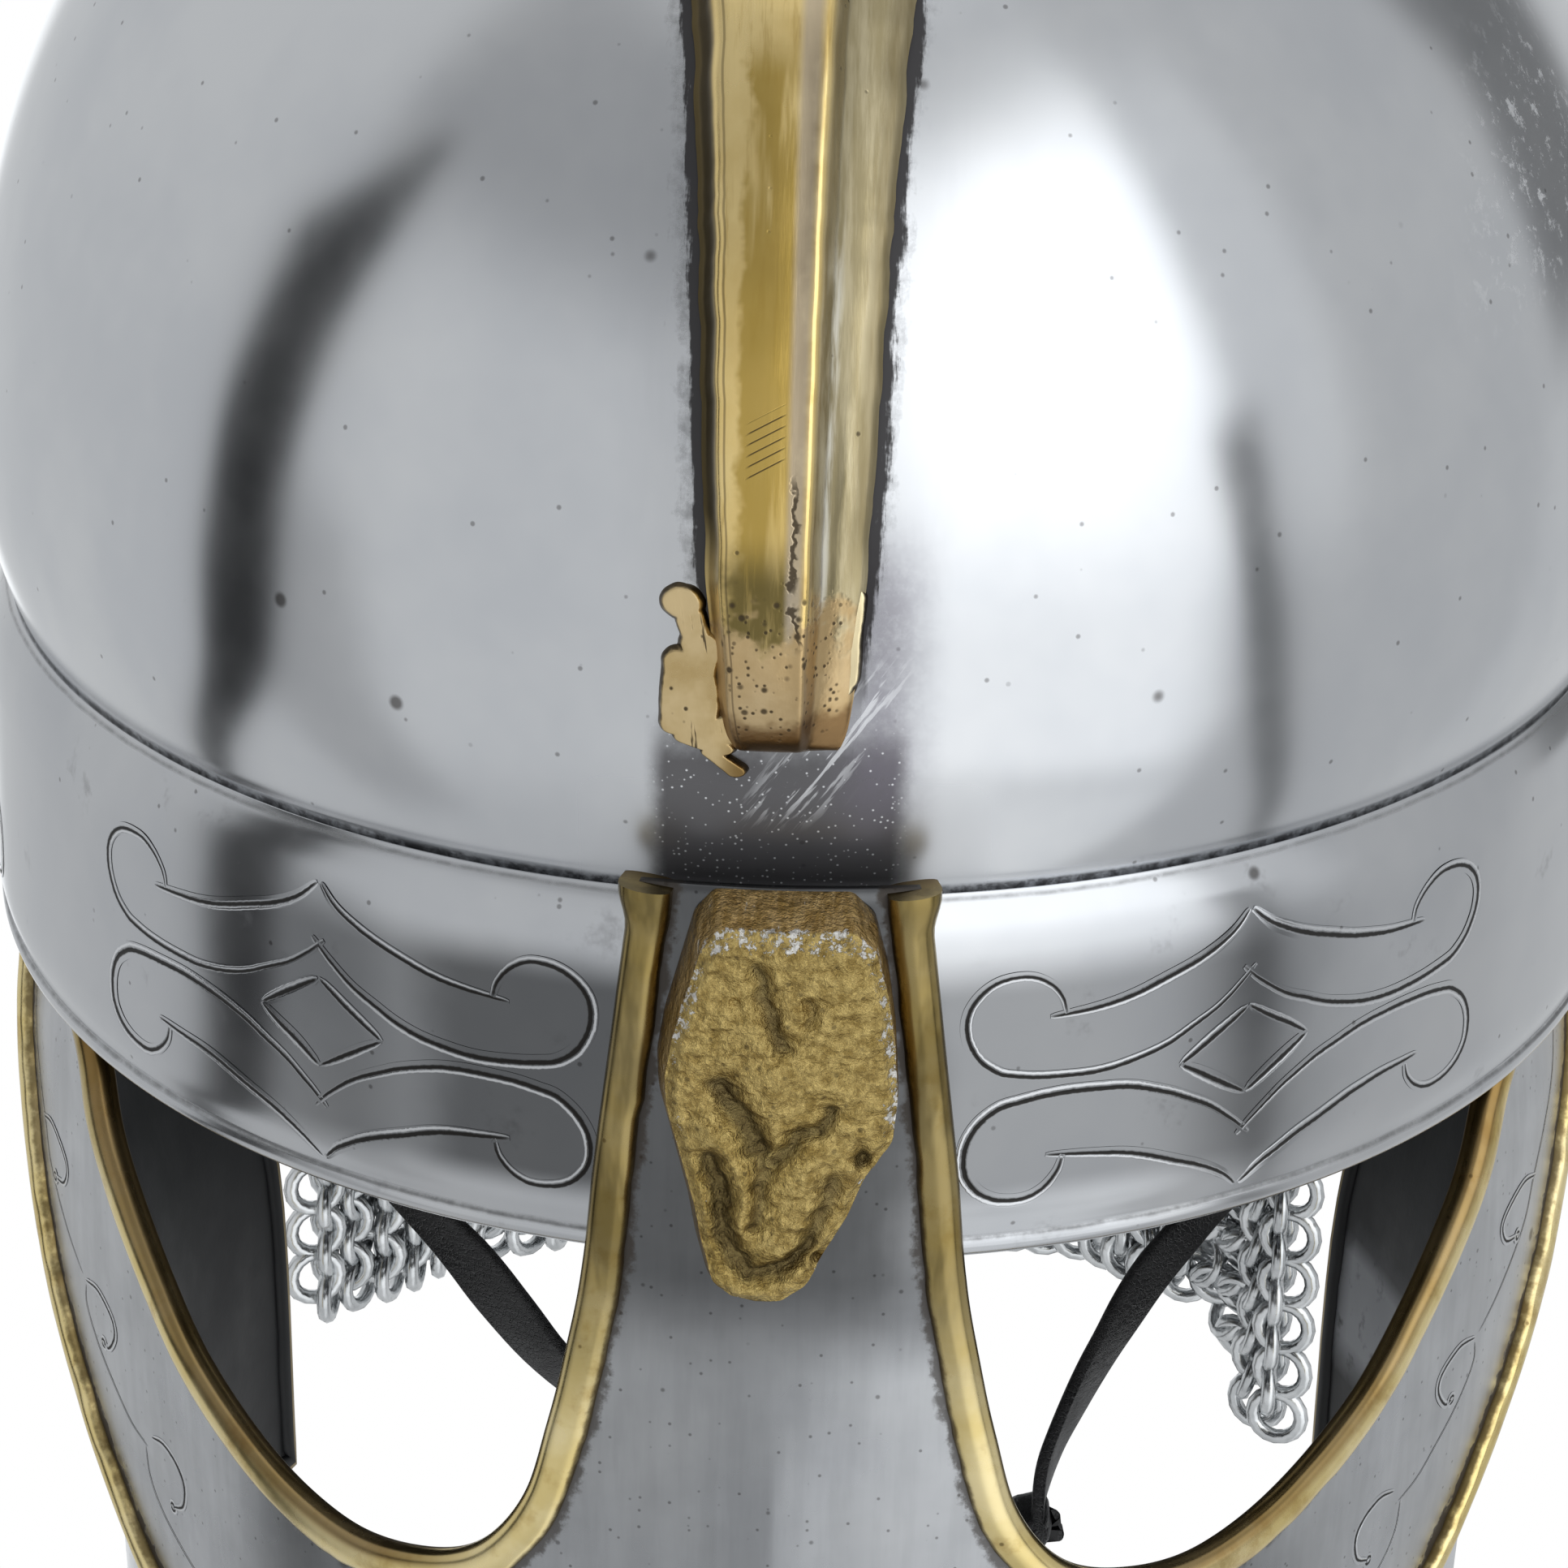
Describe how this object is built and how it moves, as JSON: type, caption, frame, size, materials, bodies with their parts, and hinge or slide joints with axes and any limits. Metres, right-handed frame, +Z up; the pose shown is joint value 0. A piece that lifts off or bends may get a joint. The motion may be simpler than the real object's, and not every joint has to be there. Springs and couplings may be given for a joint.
{
  "type": "crusader helmet",
  "caption": "Crusader helmet: steel skull with brass comb, engraved brow band, face mask with beast-head nasal, cheek guards, mail neck guard and leather chin strap",
  "frame": {"origin": "on the skull's upright axis, level with the brow band's lower edge, at the mount head_seat", "axes": "+Z up through the crown, -Y out of the face, +X towards the wearer's left"},
  "size_m": [0.2096, 0.2606, 0.3139],
  "materials": {
    "steel": "polished plate steel with fine scratches, brown specks and grime in the seams",
    "mail_steel": "bright round steel wire rings",
    "brass": "aged brass, hammered and soldered, with dark soot beside the joints",
    "gilt": "rough cast metal painted gold, worn to silver on the edges",
    "leather": "soft black leather, creased and slightly glossy",
    "black_metal": "black painted metal"
  },
  "bodies": {
    "root": {"skull_dome": "steel", "brow_band": "steel", "comb": "brass", "face_mask": "steel", "eye_binding_left": "brass", "eye_binding_right": "brass", "rim_binding": "brass", "nasal_ornament": "gilt", "cheek_guard_left": "steel", "cheek_guard_right": "steel", "guard_binding_left": "brass", "guard_binding_right": "brass", "mail_aventail": "mail_steel", "chin_strap_left": "leather", "chin_strap_right": "leather", "strap_buckle": "black_metal", "strap_rivet_left": "black_metal", "strap_rivet_right": "black_metal"}
  },
  "joints": []
}
